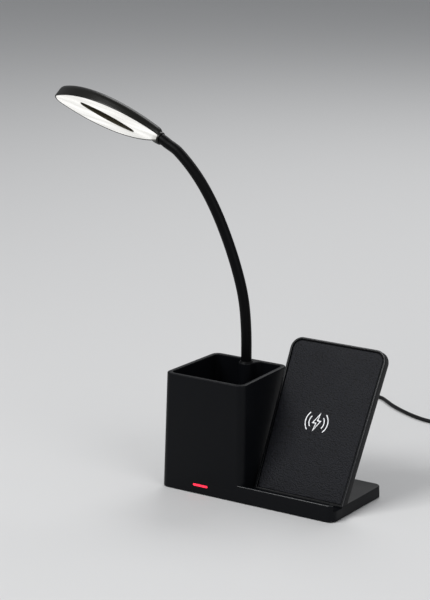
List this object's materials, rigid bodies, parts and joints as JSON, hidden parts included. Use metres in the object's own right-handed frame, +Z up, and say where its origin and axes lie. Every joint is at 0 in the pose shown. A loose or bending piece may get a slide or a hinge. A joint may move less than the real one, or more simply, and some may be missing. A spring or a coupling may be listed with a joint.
{
  "type": "desk lamp",
  "caption": "Black desk lamp on a flat base, with a gooseneck and an open leaf-shaped lit head, a square pen cup and a leaning phone charging stand.",
  "frame": {"origin": "centre of the base's footprint on the table", "axes": "+X to the right along the base's front edge, +Y to the back, +Z up"},
  "size_m": [0.357, 0.3222, 0.3129],
  "materials": {
    "housing": "satin moulded, near black",
    "cover": "matte moulded",
    "pad": "soft matte",
    "screws": "zinc plated",
    "ballast": "raw plate",
    "board": "green solder mask",
    "indicator": "lit red translucent",
    "lamp_chip": "phosphor and white carrier",
    "connector": "bright plated",
    "frame": "bright satin edge",
    "textured": "fine pebbled",
    "copper_wire": "enamelled wire",
    "ferrite": "dull sheet",
    "neck": "smooth matte sleeve",
    "liner": "satin dark olive",
    "diffuser": "lit white, translucent",
    "lamp_board": "white solder mask",
    "plug": "matte moulded",
    "cord": "smooth matte",
    "tie": "woven band"
  },
  "bodies": {
    "base": {"housing": "housing", "bottom_cover": "cover", "base_pad": "pad", "cover_screws": "screws", "ballast_plate": "ballast", "control_board": "board", "indicator_lens": "indicator", "indicator_led": "lamp_chip", "power_socket": "connector", "stand_shell": "housing", "stand_frame": "frame", "stand_face": "textured", "charging_coil": "copper_wire", "ferrite_sheet": "ferrite", "charger_board": "board", "stand_screws": "screws", "neck_root": "neck", "neck_nut": "housing", "power_plug": "plug", "power_plug_shell": "connector", "cord_lead": "cord", "cord_coil": "cord", "coil_tie": "tie", "usb_plug": "plug", "usb_plug_shell": "connector"},
    "neck_1": {"neck_link_1": "neck"},
    "neck_2": {"neck_link_2": "neck"},
    "neck_3": {"neck_link_3": "neck"},
    "neck_4": {"neck_link_4": "neck"},
    "neck_5": {"neck_link_5": "neck"},
    "neck_6": {"neck_link_6": "neck"},
    "neck_7": {"neck_link_7": "neck"},
    "head": {"head_elbow": "neck", "head_shell": "housing", "slot_liner": "liner", "head_rim_ring": "housing", "diffuser": "diffuser", "led_board": "lamp_board", "led_chips": "lamp_chip", "head_screws": "screws"}
  },
  "joints": [
    {"name": "lower_bend", "type": "hinge", "parent": "base", "child": "neck_1", "pos_m": [-0.0408, 0.0255, 0.1115], "axis": [0, -1, 0], "range_deg": [-18, 12]},
    {"name": "sway", "type": "hinge", "parent": "neck_1", "child": "neck_2", "pos_m": [-0.0421, 0.0255, 0.13846], "axis": [0.9954, 0, 0.0958], "range_deg": [-16, 16]},
    {"name": "lower_bend_b", "type": "hinge", "parent": "neck_2", "child": "neck_3", "pos_m": [-0.04724, 0.0255, 0.16492], "axis": [0, -1, 0], "range_deg": [-18, 12]},
    {"name": "sway_b", "type": "hinge", "parent": "neck_3", "child": "neck_4", "pos_m": [-0.05614, 0.0255, 0.1904], "axis": [0.9272, 0, 0.3746], "range_deg": [-16, 16]},
    {"name": "upper_bend", "type": "hinge", "parent": "neck_4", "child": "neck_5", "pos_m": [-0.06733, 0.0255, 0.21496], "axis": [0, -1, 0], "range_deg": [-25, 15]},
    {"name": "sway_c", "type": "hinge", "parent": "neck_5", "child": "neck_6", "pos_m": [-0.08123, 0.0255, 0.23809], "axis": [0.8192, 0, 0.5736], "range_deg": [-16, 16]},
    {"name": "upper_bend_b", "type": "hinge", "parent": "neck_6", "child": "neck_7", "pos_m": [-0.09873, 0.0255, 0.25859], "axis": [0, -1, 0], "range_deg": [-25, 15]},
    {"name": "head_twist", "type": "hinge", "parent": "neck_7", "child": "head", "pos_m": [-0.1199, 0.0255, 0.27527], "axis": [-0.8434, 0, 0.5373], "range_deg": [-60, 60]}
  ],
  "couplings": [
    {"joint": "lower_bend_b", "follows": "lower_bend", "ratio": 1},
    {"joint": "sway_b", "follows": "sway", "ratio": 1},
    {"joint": "sway_c", "follows": "sway", "ratio": 1},
    {"joint": "upper_bend_b", "follows": "upper_bend", "ratio": 1}
  ]
}
